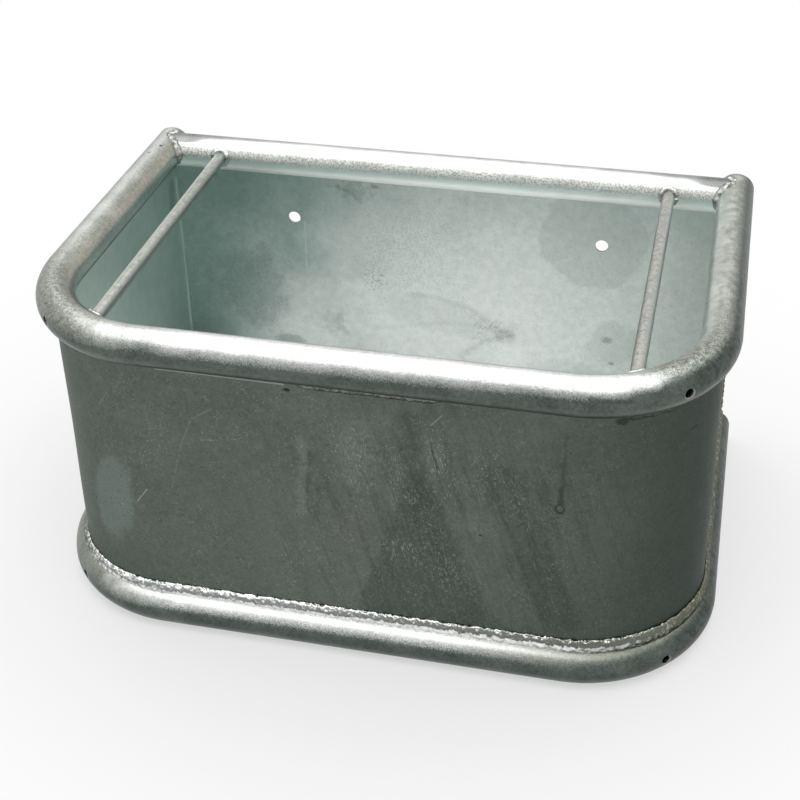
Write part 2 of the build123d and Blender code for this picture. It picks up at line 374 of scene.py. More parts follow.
def rail_finish():
    """Silvery zinc with a fine grain, its light painted in: painted teal and white reflections below, dark
    specks in front where the painted highlight fades, painted grey shade behind and at the ends.
    """
    f = Finish("galvanised_rail")
    grain, _, mixed = f.layered((950, 2, 0.6, 0.5), (42, 3, 0.5, 0.5))
    tone = f.spread(mixed, 0.38, 0.62)
    colour = f.blend(tone, (0.5, 0.525, 0.505), (0.74, 0.75, 0.73))
    up = f.facing(UP)
    # Painted reflections: teal where the pipe faces down and forward, white along its underside.
    colour = f.blend(f.spread(up, 0.35, 0.05), colour, (0.78, 0.86, 0.84))
    colour = f.blend(f.spread(up, -0.2, -0.45), colour, (1.0, 1.0, 0.98))
    # Dark specks where the painted highlight fades out in front.
    speck = f.both(f.spread(f.speckle(620, 2, 0.6), 0.44, 0.6), f.spread(up, 0.8, 0.55))
    colour = f.blend(f.both(f.both(speck, f.spread(up, -0.05, 0.25)), 0.75), colour, (0.24, 0.25, 0.2))
    # Painted grey shade along the top back edge, widening towards the ends by the legs and darkest at the
    # very ends.
    edge = f.shaken(f.facing(BACK), grain, 0.1)
    aside = f.maths("ABSOLUTE", f.x)
    ends = f.maths("ADD", f.spread(aside, 0.15, 0.27, 0, 0.55), f.spread(aside, 0.238, 0.262, 0, 0.45))
    ends = f.both(ends, f.spread(up, 0.55, 0.85))
    grey = f.blend(tone, (0.25, 0.258, 0.26), (0.37, 0.378, 0.38))
    dark = f.blend(tone, (0.11, 0.115, 0.11), (0.24, 0.245, 0.235))
    grey = f.blend(f.spread(aside, 0.238, 0.258, 0, 0.8), grey, dark)
    colour = f.blend(f.spread(f.maths("ADD", edge, ends), -0.12, 0.3), colour, grey)
    stain = f.spread(f.speckle(14, 2), 0.52, 0.7, 0, 0.3)
    colour = f.blend(stain, colour, (0.46, 0.44, 0.4))
    return f.metal(colour, f.spread(grain, 0.3, 0.7, 0.34, 0.5), f.bump(mixed, 0.0006, 0.4), 1.0)


def bar_finish():
    """Mottled zinc on round bar, tinted brown in places, with painted light: painted shade with a teal
    reflection on the side turned away, and a painted highlight as a pale face to the left on the left bar.
    """
    f = Finish("galvanised_bar")
    *_, mixed = f.layered((800, 2, 0.6, 0.5), (190, 2, 0.6, 0.5))
    bright = f.blend(f.spread(mixed, 0.38, 0.62), (0.23, 0.24, 0.22), (0.44, 0.45, 0.42))
    tint = f.spread(f.speckle(40, 2), 0.45, 0.65, 0, 0.22)
    bright = f.blend(tint, bright, (0.44, 0.4, 0.36))
    # Painted light: lit where the bar faces up and to the left, painted shade with a teal reflection on the
    # other side.
    facing = f.shaken(f.facing((-0.6, 0, 1)), mixed, 0.12, 0.35, 0.65)
    shaded_teal_side = f.blend(f.spread(f.x, -0.1, 0.1), (0.235, 0.262, 0.245), (0.44, 0.485, 0.465))
    colour = f.blend(f.spread(facing, -0.1, 0.75), shaded_teal_side, bright)
    # Painted highlight on the left bar's face to the left.
    left = f.both(f.spread(f.facing(LEFT), 0.05, 0.65), f.spread(f.x, 0.1, -0.1))
    colour = f.blend(left, colour, (0.7, 0.76, 0.74))
    return f.metal(colour, f.spread(mixed, 0.35, 0.65, 0.48, 0.32), f.bump(mixed, 0.0006, 0.4), 1.0)


def weld_finish():
    """Lumpy weld metal under zinc, its light painted in: silver on top and darker below, painted shade
    under the rim, bright to olive at the wall's foot with painted highlights and shade on the bead.
    """
    f = Finish("weld_metal")
    grain, patch, mixed = f.layered((620, 2, 0.6, 0.5), (230, 2, 0.6, 0.5))
    tone = f.spread(mixed, 0.38, 0.6)
    # Upper welds: silver where they face up, darker painted shade where they face down.
    silver = f.blend(tone, (0.26, 0.27, 0.26), (0.62, 0.63, 0.61))
    dark = f.blend(tone, (0.18, 0.19, 0.18), (0.38, 0.395, 0.375))
    facing = f.shaken(f.facing((-0.2, 0, 1)), mixed, 0.2, 0.35, 0.65)
    upper = f.blend(f.spread(facing, -0.5, 0.4), dark, silver)
    aside = f.maths("ABSOLUTE", f.x)
    corner = f.blend(tone, (0.15, 0.155, 0.145), (0.4, 0.41, 0.385))
    upper = f.blend(f.spread(aside, 0.248, 0.258), upper, corner)
    # Painted shade on the welds under the top rim, deeper to the right.
    under_rim_shade = f.blend(tone, (0.05, 0.06, 0.05), (0.22, 0.24, 0.21))
    under_rim_shade = f.blend(f.spread(f.x, 0.1, 0.2, 0, 0.75), under_rim_shade, (0.035, 0.042, 0.035))
    upper = f.blend(f.spread(f.z, 0.284, 0.278), upper, under_rim_shade)
    drift = f.shaken(f.x, patch, 0.03)
    to_right = f.spread(drift, -0.08, 0.2)
    # Painted highlights on the up-facing lumps of the foot bead and painted shade between them, fewer
    # highlights to the right.
    facing = f.shaken(f.facing(UP), mixed, 0.4, 0.35, 0.65)
    lit = f.spread(f.maths("SUBTRACT", facing, f.both(to_right, 0.45)), 0.35, 0.8)
    ridge_highlight = f.blend(tone, (0.5, 0.51, 0.5), (0.95, 0.96, 0.94))
    gap_shade = f.blend(to_right, (0.27, 0.28, 0.275), (0.135, 0.145, 0.12))
    grey = f.blend(tone, (0.15, 0.165, 0.14), (0.31, 0.33, 0.29))
    olive = f.blend(tone, (0.085, 0.09, 0.065), (0.18, 0.185, 0.14))
    beside = f.blend(f.spread(f.x, -0.1, 0.1), grey, olive)
    # Painted glints scattered along the bead at the sides.
    beside = f.blend(f.spread(mixed, 0.56, 0.63, 0, 0.5), beside, (0.52, 0.52, 0.44))
    # Painted highlight carried from the pipe's top onto the bead's lower edge, fading out to the right.
    lower_highlight = f.shaken(f.z, patch, 0.0015)
    brink = f.spread(f.x, -0.1, 0.2, WALL_FOOT + 0.0018, WALL_FOOT + 0.0052)
    lower_highlight = f.spread(f.maths("SUBTRACT", brink, lower_highlight), -0.0005, 0.0005)
    smooth = f.blend(tone, (0.78, 0.79, 0.78), (1.0, 1.0, 0.99))
    front = f.blend(f.both(lower_highlight, f.spread(drift, 0.26, 0.17)), f.blend(lit, gap_shade, ridge_highlight), smooth)
    lower = f.blend(f.spread(f.maths("ABSOLUTE", drift), 0.235, 0.275), front, beside)
    colour = f.blend(f.spread(f.z, 0.1, 0.05), upper, lower)
    return f.metal(colour, f.spread(grain, 0.3, 0.7, 0.26, 0.4), f.bump(mixed, 0.0008, 0.3), 1.0, 0.6)


def outside_finish():
    """Dull grey-green zinc on the outside of the wall, clouded, wiped and scratched, its dark tone a
    painted dark reflection, with painted light and shade in places.
    """
    f = Finish("galvanised_sheet_outside")
    fine, mottle, _, mixed = f.layered((620, 3, 0.65, 0.3), (110, 4, 0.65, 0.35), (16, 3, 0.55, 0.35))
    # The dark base tone is a painted dark reflection.
    colour = f.blend(f.spread(mixed, 0.36, 0.64), (0.084, 0.106, 0.087), (0.136, 0.158, 0.136))
    middle = f.both(f.spread(f.x, -0.22, -0.04), f.spread(f.x, 0.15, 0.03))
    lower = f.both(f.spread(f.z, 0.22, 0.06), middle)
    left_lean = f.streaks(0.12, 0.28, 800)
    right_lean = f.streaks(0.34, 0.16, 620)
    wiped = f.streaks(0.3, 0.1, 120, 3)
    aside = f.spread(f.y, -0.12, -0.04)
    group = f.spread(f.speckle(38, 3, 0.6), 0.44, 0.6)
    rub = f.spot((0.085, 0.14), (0.15, 0.12), edge=1.2)

    pale, dark, blue = (0.185, 0.205, 0.185), (0.04, 0.052, 0.042), (0.182, 0.226, 0.208)
    brown, fleck, shade = (0.125, 0.138, 0.115), (0.36, 0.39, 0.36), (0.052, 0.066, 0.054)
    pit = (0.018, 0.022, 0.019)
    half = f.spread(f.z, 0.054, 0.23, 0.056, 0.0)
    beside = f.maths("ABSOLUTE", f.maths("SUBTRACT", f.x, 0.058))
    tent = f.shaken(f.maths("SUBTRACT", half, beside), mottle, 0.006)
    tent = f.both(f.spread(tent, -0.003, 0.007, soft=True), f.spread(f.z, 0.212, 0.18))
    zones = [
        ((0.041, 0.183), (0.011, 0.026)),
        ((0.083, 0.184), (0.008, 0.026)),
        ((0.138, 0.181), (0.009, 0.02)),
        ((0.046, 0.115), (0.014, 0.015)),
        ((0.079, 0.105), (0.009, 0.022)),
        ((0.005, 0.205), (0.014, 0.032)),
    ]
    dashed = f.any_of(f.spot(*zone, edge=1.4, ragged=0.9, scale=70, turn=8) for zone in zones)
    ring = f.maths(
        "SUBTRACT",
        f.spot((0.1722, 0.1806), (0.0042, 0.005), edge=0.5, ragged=0.2, scale=200),
        f.spot((0.1722, 0.1812), (0.0024, 0.0031), edge=0.6, ragged=0.2, scale=200),
    )
    crack = ((0.0672, 0.23), (0.069, 0.219), (0.0712, 0.212), (0.0722, 0.205))
    scratch = ((-0.1163, 0.2378), (-0.1354, 0.2246), (-0.1475, 0.1948), (-0.1596, 0.1494))
    colour = f.painted(colour, [
        # Painted light, lighter in the lower middle and at the left bend.
        (lower, 0.45, (0.17, 0.195, 0.17)),
        (f.spread(f.x, -0.2, -0.27), 0.25, pale),
        (f.spot((-0.221, 0.122), (0.0215, 0.046), edge=0.4, ragged=0.25, turn=-13), 0.75, blue),
        (f.spot((0.000, 0.136), (0.034, 0.04), edge=1.2, ragged=0.4), 0.45, brown),
        (f.spot((0.001, 0.209), (0.014, 0.028), edge=0.9, ragged=0.8, scale=110), 0.42, pale),
        (f.spot((0.019, 0.238), (0.013, 0.016), edge=1.0, ragged=0.8, scale=110), 0.35, pale),
        (f.spot((0.07, 0.214), (0.01, 0.018), edge=1.2, ragged=0.5, scale=110), 0.35, pale),
        (tent, 0.48, dark),
        (f.line((0.05, 0.252), (0.056, 0.172), 0.0095, edge=1.3, ragged=0.5, scale=90), 0.36, dark),
        (f.spot((0.052, 0.07), (0.03, 0.024), edge=1.2, ragged=0.5), 0.35, (0.085, 0.112, 0.098)),
        (f.spot((0.109, 0.114), (0.013, 0.046), edge=0.5, ragged=0.3, turn=6), 0.4, brown),
        (f.spot((0.099, 0.156), (0.007, 0.009), edge=1.0, ragged=0.4), 0.3, pale),
        (f.line((0.128, 0.2), (0.175, 0.066), 0.017, edge=0.7, ragged=0.35), 0.35, dark),
        # Painted light and shade along a fold: pale strips beside darker lines.
        (f.line((-0.041, 0.214), (-0.039, 0.188), 0.005, edge=1.6, ragged=1.0), 0.55, pale),
        (f.line((-0.041, 0.186), (-0.045, 0.142), 0.0046, edge=1.6, ragged=1.0), 0.5, pale),
        (f.line((-0.035, 0.205), (-0.039, 0.145), 0.0018, edge=1.8, ragged=1.9, scale=110), 0.5, shade),
        (f.line((-0.026, 0.17), (-0.033, 0.14), 0.003, edge=1.6, ragged=1.4), 0.3, shade),
        (f.both(rub, f.spread(wiped, 0.51, 0.63)), 0.32, dark),
        (f.both(rub, f.spread(right_lean, 0.58, 0.7)), 0.42, pale),
        (f.both(dashed, f.spread(left_lean, 0.56, 0.68)), 0.62, fleck),
        (f.both(rub, f.spread(left_lean, 0.6, 0.72)), 0.4, pale),
        (f.spread(f.speckle(420, 3, 0.7), 0.53, 0.64), 0.38, pale),
        (f.spread(f.speckle(360, 3, 0.7), 0.46, 0.34), 0.35, dark),
        (f.both(f.spread(f.speckle(780, 1), 0.64, 0.73), group), 0.6, fleck),
        (f.spread(f.speckle(540, 1), 0.3, 0.22), 0.45, dark),
        (f.both(f.trail(crack, 0.006, edge=1.6, ragged=0.9), f.spread(left_lean, 0.54, 0.68)), 0.6, fleck),
        (f.trail(crack, 0.0008, edge=1.2, ragged=0.9, scale=190), 0.65, dark),
        (f.spot((0.1075, 0.1426), (0.0011, 0.0011), edge=0.6), 0.8, (0.02, 0.022, 0.02)),
        (f.spot((-0.0506, 0.2654), (0.003, 0.0017), edge=0.6), 0.85, pit),
        (f.spot((0.217, 0.2674), (0.005, 0.003), edge=0.8, ragged=0.4, scale=200), 0.8, pit),
        (f.spot((0.2705, 0.24), (0.0026, 0.0016), edge=0.8), 0.6, pit),
        (f.line((0.1753, 0.2509), (0.1727, 0.187), 0.0016, edge=1.6, ragged=2.0, scale=95), 0.5, shade),
        (f.line((0.1728, 0.2), (0.1726, 0.187), 0.0022, edge=1.4, ragged=1.6, scale=160), 0.6, dark),
        (ring, 0.7, (0.018, 0.022, 0.018)),
        (f.trail(scratch, 0.0004, ragged=0.8), 0.21, fleck),
        (f.line((-0.1284, 0.2047), (-0.1145, 0.206), 0.0007, ragged=0.8), 0.2, fleck),
        (f.line((-0.183, 0.1438), (-0.1943, 0.1279), 0.0005, ragged=0.5), 0.65, fleck),
        (f.line((-0.2101, 0.2378), (-0.2206, 0.2223), 0.0004, ragged=0.8), 0.2, fleck),
        (f.line((-0.279, 0.1745), (-0.2727, 0.1733), 0.0006), 0.5, fleck),
        (f.line((0.077, 0.2585), (0.0676, 0.2475), 0.0005), 0.4, fleck),
        # Painted highlight along the sheet's top edge under the rim.
        (f.line((-0.162, 0.271), (-0.053, 0.2702), 0.0007, ragged=0.3), 0.35, (0.5, 0.53, 0.5)),
        # Painted shade, darker to the right and deeper still on the right bend.
        (f.spread(f.x, 0.1, 0.24), 0.45, (0.04, 0.054, 0.042)),
        (f.both(f.spread(f.x, 0.2, 0.28), f.spread(f.y, -0.02, -0.09)), 0.45, (0.02, 0.028, 0.022)),
        (f.both(aside, f.spread(wiped, 0.48, 0.66)), 0.35, pale),
        (f.both(aside, f.spread(left_lean, 0.6, 0.72)), 0.3, fleck),
    ])
    roughness = f.spread(fine, 0.3, 0.7, 0.36, 0.54)
    normal = f.bump(f.maths("ADD", fine, mottle), 0.0005, 0.2)
    return f.metal(colour, roughness, normal, 0.85, 0.55)


def inside_finish():
    """Zinc on the inside of the wall with painted light, blue-green shade at the left and greyer, paler lit
    zinc to the right, and worn zinc on the floor.
    """
    f = Finish("galvanised_sheet_inside", sideways=True)
    fine, mottle, cloud, mixed = f.layered((520, 3, 0.65, 0.2), (70, 4, 0.6, 0.4), (10, 3, 0.5, 0.4))
    teal = f.blend(f.spread(mixed, 0.36, 0.64), (0.435, 0.54, 0.51), (0.56, 0.645, 0.615))
    grey = f.blend(f.spread(mixed, 0.36, 0.64), (0.775, 0.82, 0.8), (0.885, 0.9, 0.89))
    # Painted light and shade: blue-green shade on the left wall, paler lit grey further right, and half
    # back to blue-green on the right wall.
    painted_light_share = f.spread(f.shaken(f.x, cloud, 0.05), -0.26, -0.08, soft=True)
    colour = f.blend(painted_light_share, teal, grey)
    colour = f.blend(f.spread(f.x, 0.2, 0.28, 0, 0.5), colour, (0.56, 0.63, 0.6))
    left = f.spread(f.x, -0.27, -0.28)
    # A dark oval on the left wall near the back corner.
    dark_oval = f.spot((0.181, 0.236), (0.008, 0.017), edge=0.8, ragged=0.3)
    colour = f.painted(colour, [(f.both(dark_oval, left), 0.5, (0.24, 0.3, 0.28))])
    worn = f.spread(f.weighed((fine, 0.25), (mottle, 0.45), (f.speckle(24, 4, 0.6), 0.3)), 0.4, 0.58)
    trodden = f.blend(worn, (0.46, 0.5, 0.48), (0.8, 0.82, 0.81))
    upward = f.spread(f.facing(UP), 0.5, 0.9)
    colour = f.blend(upward, colour, trodden)
    roughness = f.blend_value(upward, f.spread(fine, 0.3, 0.7, 0.3, 0.44), f.spread(worn, 0, 1, 0.78, 0.62))
    return f.metal(colour, roughness, f.bump(f.maths("ADD", fine, mottle), 0.0005, 0.15), 1.0)


def back_finish():
    """Zinc on the back plate with painted light: teal shade at the left, a pale lit middle, painted shade
    under the rail, to the right and in the bolt holes, with dried stains, and plain behind.
    """
    f = Finish("galvanised_back")
    fine = f.speckle(520, 3, 0.65)
    mottle = f.speckle(120, 4, 0.65)
    cloud = f.speckle(17, 4, 0.6)
    teal = f.blend(f.spread(mottle, 0.36, 0.64), (0.37, 0.47, 0.445), (0.44, 0.54, 0.51))
    grey = f.blend(f.spread(mottle, 0.36, 0.64), (0.836, 0.86, 0.845), (0.942, 0.95, 0.94))
    # Painted light and shade: teal shade at the left, a pale lit middle that is lighter towards the bottom,
    # darker to the right and under the rail.
    from_left = f.shaken(f.x, cloud, 0.07, 0.25, 0.75)
    from_left = f.maths("ADD", from_left, f.spread(f.z, 0.26, 0.06, -0.03, 0.05))
    low_left = f.spread(f.shaken(f.x, cloud, 0.03, 0.25, 0.75), -0.26, -0.16, soft=True)
    painted_light_share = f.blend_value(f.spread(f.z, 0.15, 0.08), f.spread(from_left, -0.27, -0.03, soft=True), low_left)
    painted_light_share = f.both(painted_light_share, f.spread(f.x, 0.08, 0.24, 1.0, 0.74))
    painted_light_share = f.both(painted_light_share, f.spread(f.shaken(f.z, cloud, 0.03), 0.275, 0.2, 0.6, 1.0))
    weather = f.weighed((mottle, 0.3), (cloud, 0.3), (f.streaks(0, 0.1, 130, 3), 0.4))
    plain = f.blend(f.spread(weather, 0.38, 0.62), (0.38, 0.435, 0.415), (0.54, 0.59, 0.57))
    dark, deep, light = (0.36, 0.42, 0.4), (0.16, 0.19, 0.18), (0.95, 0.96, 0.95)

    leaf_top = ((-0.0425, 0.1366), (-0.0086, 0.1366), (0.0267, 0.1266), (0.0476, 0.1108), (0.0696, 0.0997))
    leaf_middle = ((-0.0763, 0.0913), (-0.0089, 0.1038), (0.0356, 0.1072), (0.0696, 0.0997))
    leaf_foot = ((0.0696, 0.0997), (0.0478, 0.0922), (0.025, 0.0748), (0.0178, 0.0654))
    hook = ((-0.113, 0.103), (-0.118, 0.096), (-0.116, 0.088), (-0.109, 0.081))
    smudge = ((-0.1132, 0.2575), (-0.096, 0.2488), (-0.0876, 0.2401))
    torn = {"edge": 1.9, "ragged": 1.3, "scale": 140}
    crystals = f.spread(f.streaks(-0.8, 0.5, 420), 0.5, 0.6)
    speckled = f.spread(f.speckle(330, 2, 0.6), 0.52, 0.62)
    left_cloud = f.spot((-0.215, 0.128), (0.042, 0.046), edge=0.7, ragged=0.6, scale=45)
    frosting = f.speckle(480, 3, 0.7)
    frost, grit = f.spread(frosting, 0.54, 0.64), f.spread(frosting, 0.5, 0.4)
    field = f.spot((-0.035, 0.19), (0.05, 0.048), edge=1.4, ragged=0.4)
    bore = (0.0068, 0.0068)
    # Painted shade in the bolt holes.
    shaded_bores = [f.spot((side * BOLT_PLACE, BOLT_HEIGHT), bore, edge=0.03) for side in (-1, 1)]
    stained = f.painted(f.blend(painted_light_share, teal, grey), [
        # Painted shade, deeper teal at the right edge.
        (f.spread(f.x, 0.225, 0.275), 0.45, (0.5, 0.57, 0.545)),
        (f.spot((-0.094, 0.21), (0.034, 0.038), edge=1.4, ragged=0.5), 0.25, light),
        (f.spot((0.151, 0.221), (0.0535, 0.0545), edge=0.1, ragged=0.14, scale=34), 0.25, dark),
        (f.spot((0.178, 0.1), (0.028, 0.026), edge=0.3, ragged=0.35, scale=70), 0.24, dark),
        (f.spot((0.17, 0.106), (0.005, 0.004), edge=1.0, ragged=0.3), 0.5, deep),
        (f.spot((0.176, 0.078), (0.003, 0.002), edge=1.0, ragged=0.3), 0.5, deep),
        (f.spot((0.005, 0.112), (0.066, 0.02), edge=0.6, ragged=0.4, scale=45, turn=-8), 0.12, deep),
        (f.trail(leaf_top, 0.0026, **torn), 0.15, deep),
        (f.trail(leaf_middle, 0.0026, **torn), 0.1, deep),
        (f.trail(leaf_foot, 0.0028, **torn), 0.16, deep),
        (f.spot((0.062, 0.1), (0.011, 0.0075), edge=1.2, ragged=0.6, scale=110), 0.2, deep),
        (f.spot((0.128, 0.062), (0.04, 0.013), edge=0.4, ragged=0.35, scale=70), 0.16, dark),
        (f.both(crystals, f.spot((0.048, 0.099), (0.024, 0.016), edge=0.8)), 0.28, deep),
        (f.trail(smudge, 0.0018, edge=1.8, ragged=1.4, scale=220), 0.3, deep),
        (f.spot((-0.096, 0.253), (0.015, 0.009), edge=1.4, ragged=1.5, scale=150), 0.26, deep),
        (f.spot((-0.071, 0.26), (0.006, 0.003), edge=1.4, ragged=1.0, scale=200), 0.45, deep),
        (f.both(speckled, f.spot((-0.075, 0.152), (0.012, 0.016), edge=1.0)), 0.5, deep),
        (f.trail(hook, 0.0032, edge=1.9, ragged=1.4, scale=160), 0.17, deep),
        (f.spot((-0.122, 0.092), (0.01, 0.012), edge=0.8, ragged=0.7, scale=120), 0.14, deep),
        (f.spot((-0.172, 0.062), (0.016, 0.009), edge=0.5, ragged=0.4, scale=90), 0.42, deep),
        (left_cloud, 0.32, (0.22, 0.3, 0.28)),
        # Painted shade in the lower left corner.
        (f.both(f.spread(f.x, -0.22, -0.28), f.spread(f.z, 0.17, 0.1)), 0.5, (0.22, 0.3, 0.28)),
        (f.both(speckled, left_cloud), 0.22, deep),
        (f.both(grit, field), 0.24, dark),
        (f.both(frost, field), 0.7, light),
        (f.both(frost, f.spot((0.06, 0.12), (0.15, 0.08), edge=1.4, ragged=0.4)), 0.5, light),
        (f.spread(f.speckle(430, 3, 0.7), 0.44, 0.34), 0.16, deep),
        (f.line((-0.149, 0.212), (-0.15, 0.156), 0.0009), 0.35, light),
        (f.spread(f.speckle(600, 1), 0.68, 0.76), 0.4, light),
        (f.line((-0.2875, 0.05), (-0.2875, 0.25), 0.0012), 0.55, (0.75, 0.8, 0.78)),
    ])
    behind = f.spread(f.y, BACK_INNER_FACE + SHEET * 0.4, BACK_INNER_FACE + SHEET * 0.6)
    colour = f.blend(behind, stained, plain)
    # Painted shade in the bolt holes, seen from both sides.
    colour = f.painted(colour, [(f.maths("MAXIMUM", *shaded_bores), 0.9, (0.18, 0.22, 0.2))])
    normal = f.bump(f.maths("ADD", fine, mottle), 0.0005, 0.15)
    return f.metal(colour, f.spread(fine, 0.3, 0.7, 0.3, 0.44), normal, 1.0)


class Shaper(Tree):
    """A Geometry Nodes tree that turns a path into a mesh, with named inputs for its sizes."""

    def __init__(self, name, inputs):
        super().__init__(bpy.data.node_groups.new(name, "GeometryNodeTree"))
        face = self.tree.interface
        face.new_socket("Geometry", in_out="OUTPUT", socket_type="NodeSocketGeometry")
        face.new_socket("Geometry", in_out="INPUT", socket_type="NodeSocketGeometry")
        self.identifiers = {}
        for label, kind in inputs.items():
            self.identifiers[label] = face.new_socket(label, in_out="INPUT", socket_type=kind).identifier
        self.start = self.tree.nodes.new("NodeGroupInput").outputs

    def resampled(self):
        """The path with points a step apart."""
        inputs = {"Curve": self.start["Geometry"], "Length": self.start["Step"]}
        return self.add("GeometryNodeResampleCurve", inputs, mode="LENGTH")

    def tube(self, path, radius):
        """Closed round tube along a path."""
        sizes = {"Resolution": self.start["Sides"], "Radius": radius}
        ring = self.add("GeometryNodeCurvePrimitiveCircle", sizes)
        inputs = {"Curve": path, "Profile Curve": ring, "Fill Caps": True}
        return self.add("GeometryNodeCurveToMesh", inputs)

    def swollen(self, mesh, height):
        """Mesh with each point moved along its normal."""
        offset = self.scaled(self.add("GeometryNodeInputNormal"), height)
        return self.add("GeometryNodeSetPosition", {"Geometry": mesh, "Offset": offset})

    def lumpy(self, mesh):
        """Mesh with the gentle lumps of a zinc coat."""
        at = self.add("GeometryNodeInputPosition")
        lump = self.spread(self.noise(at, self.start["Lump scale"], 2), 0.0, 1.0, -1.0, 1.0)
        return self.swollen(mesh, self.maths("MULTIPLY", lump, self.start["Lump height"]))

    def finish(self, mesh, sharpest):
        """Ends the tree: smooth but for sharp edges, instances made real, then the material."""
        mesh = self.add("GeometryNodeSetShadeSmooth", {0: mesh, "Shade Smooth": True}, domain="FACE")
        angle = self.add("GeometryNodeInputMeshEdgeAngle", output="Unsigned Angle")
        gentle = self.maths("LESS_THAN", angle, math.radians(sharpest))
        mesh = self.add("GeometryNodeSetShadeSmooth", {0: mesh, "Shade Smooth": gentle}, domain="EDGE")
        real = self.add("GeometryNodeRealizeInstances", {0: mesh})
        coated = self.add("GeometryNodeSetMaterial", {"Geometry": real, "Material": self.start["Material"]})
        self.add("NodeGroupOutput", {"Geometry": coated})


FLOAT = "NodeSocketFloat"
ROUND_INPUTS = {
    "Radius": FLOAT,
    "Sides": "NodeSocketInt",
    "Step": FLOAT,
    "Lump height": FLOAT,
    "Lump scale": FLOAT,
    "Material": "NodeSocketMaterial",
}


def bar_shaper():
    """Round bar along a path."""
    s = Shaper("zinc_coated_bar", ROUND_INPUTS)
    s.finish(s.lumpy(s.tube(s.resampled(), s.start["Radius"])), sharpest=40)
    return s


def pipe_shaper():
    """Pipe along a path, closed at its ends, with holes where the drill reaches."""
    more = {"Bore radius": FLOAT, "Drill": "NodeSocketObject"}
    s = Shaper("zinc_coated_pipe", {**ROUND_INPUTS, **more})
    path = s.resampled()
    pipe = s.lumpy(s.tube(path, s.start["Radius"]))
    end = 0.003
    inside = s.add("GeometryNodeTrimCurve", {"Curve": path, "Start": end, "End": 1 - end}, mode="FACTOR")
    bore = s.tube(inside, s.start["Bore radius"])
    drill = s.add("GeometryNodeObjectInfo", {"Object": s.start["Drill"]}, "Geometry")
    cut = {"Mesh 1": pipe, "Mesh 2": [bore, drill]}
    s.finish(s.add("GeometryNodeMeshBoolean", cut, operation="DIFFERENCE"), sharpest=40)
    return s


def bead_shaper():
    """Weld bead along a path, with ripples across it, lumps and a coarse grain.

    Taper is how far from its ends it thins out, flat how much it is pressed in on its inner side, and calm
    how much smoother it is along the sides of the trough.
    """
    more = {
        "Ripple pitch": FLOAT,
        "Ripple height": FLOAT,
        "Grain scale": FLOAT,
        "Grain height": FLOAT,
        "Stretch": "NodeSocketVector",
        "Taper": FLOAT,
        "Flat": FLOAT,
        "Calm": FLOAT,
    }
    thinnest, sway = 0.4, 0.4
    s = Shaper("weld_bead", {**ROUND_INPUTS, **more})
    at = s.add("GeometryNodeInputPosition")
    run = s.add("GeometryNodeSplineParameter", output="Length")
    to_end = s.maths("SUBTRACT", s.add("GeometryNodeSplineLength", output="Length"), run)
    full = s.spread(s.maths("MINIMUM", run, to_end), 0.0, s.start["Taper"], thinnest, 1.0)
    outward = s.vector("CROSS_PRODUCT", s.add("GeometryNodeInputTangent"), UP)
    capture = s.tree.nodes.new("GeometryNodeCaptureAttribute")
    for label, kind in (("Run", "FLOAT"), ("Full", "FLOAT"), ("Middle", "VECTOR"), ("Outward", "VECTOR")):
        capture.capture_items.new(kind, label)
    for place, socket in enumerate((s.resampled(), run, full, at, outward)):
        s.tree.links.new(socket, capture.inputs[place])
    path, run, full, middle, outward = (capture.outputs[place] for place in range(5))
    bead = s.tube(path, s.start["Radius"])
    away = s.vector("MULTIPLY", s.vector("SUBTRACT", at, middle), s.start["Stretch"])
    inward = s.maths("MINIMUM", s.vector("DOT_PRODUCT", away, outward, "Value"), 0.0)
    away = s.vector("SUBTRACT", away, s.scaled(outward, s.maths("MULTIPLY", inward, s.start["Flat"])))
    moved = s.vector("ADD", middle, s.scaled(away, full))
    bead = s.add("GeometryNodeSetPosition", {"Geometry": bead, "Position": moved})
    lump = s.spread(s.noise(at, s.start["Lump scale"], 2), 0.25, 0.75, -1.0, 1.0)
    grain = s.spread(s.noise(at, s.start["Grain scale"], 2), 0.2, 0.8, -1.0, 1.0)
    turns = s.maths("DIVIDE", run, s.start["Ripple pitch"])
    turns = s.maths("ADD", turns, s.maths("MULTIPLY", lump, sway))
    ripple = s.maths("SINE", s.maths("MULTIPLY", turns, 2 * math.pi))
    height = s.weighed(
        (ripple, s.start["Ripple height"]), (lump, s.start["Lump height"]), (grain, s.start["Grain height"])
    )
    beside = s.spread(s.maths("ABSOLUTE", s.add("ShaderNodeSeparateXYZ", {0: at})), CALM_FROM, CALM_TO)
    calm = s.maths("MULTIPLY", beside, s.start["Calm"])
    height = s.maths("MULTIPLY", height, s.maths("SUBTRACT", 1.0, calm))
    s.finish(s.swollen(bead, height), sharpest=75)
    return s


def linked(name, data):
    made = bpy.data.objects.new(name, data)
    bpy.context.scene.collection.objects.link(made)
    return made


def path_object(name, runs):
    """Curve object with one straight-sided line for each run of points."""
    curve = bpy.data.curves.new(name, "CURVE")
    curve.dimensions = "3D"
    for run in runs:
        spline = curve.splines.new("POLY")
        spline.points.add(len(run) - 1)
        for point, place in zip(spline.points, run):
            point.co = (*place, 1)
    return linked(name, curve)


def shaped(name, runs, shaper, sizes):
    """Plain mesh piece that a tree makes from a path."""
    source = path_object(name + "_path", runs)
    modifier = source.modifiers.new("shape", "NODES")
    modifier.node_group = shaper.tree
    for label, value in sizes.items():
        modifier[shaper.identifiers[label]] = value
    depsgraph = bpy.context.evaluated_depsgraph_get()
    mesh = bpy.data.meshes.new_from_object(source.evaluated_get(depsgraph), depsgraph=depsgraph)
    bpy.data.objects.remove(source)
    mesh.name = name
    return linked(name, mesh)


def hand_in(piece, slot, *nodes):
    """Piece stands for these CAD nodes and rides on the trough."""
    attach(piece, "root")
    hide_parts(*nodes)


